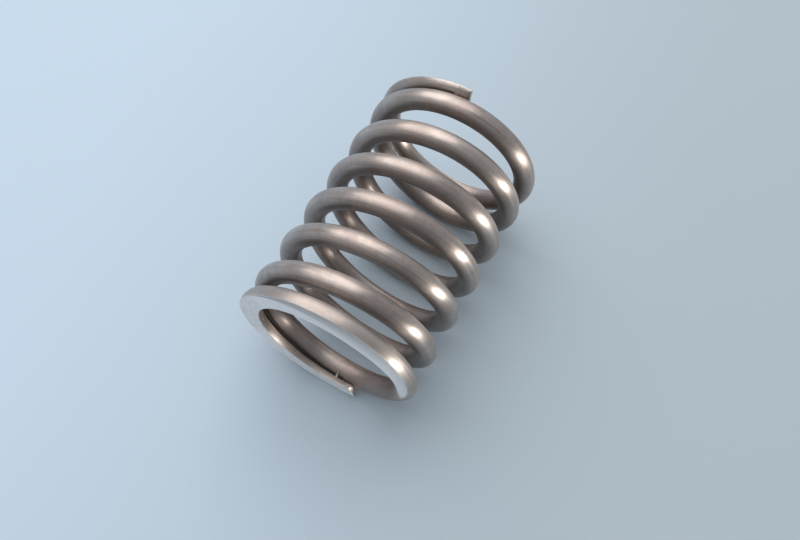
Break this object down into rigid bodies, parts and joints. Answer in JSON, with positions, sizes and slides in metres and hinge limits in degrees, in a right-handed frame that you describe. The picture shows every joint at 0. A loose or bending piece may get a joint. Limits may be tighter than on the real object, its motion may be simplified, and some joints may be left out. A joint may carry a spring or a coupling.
{
  "type": "compression spring",
  "caption": "Round-wire compression spring, right-hand wound, with closed ends ground flat so that it stands square on a seat.",
  "frame": {"origin": "centre of the lower ground face, on the coil axis", "axes": "+Z along the coil axis to the upper ground face; the wire's lower tip starts on the +X side and winds counter-clockwise seen from +Z"},
  "size_m": [0.024, 0.024, 0.0355],
  "materials": {
    "spring_steel": "satin drawn spring wire with fine drawing lines, matt ground end faces"
  },
  "bodies": {
    "root": {"coil_spring": "spring_steel"}
  },
  "joints": []
}
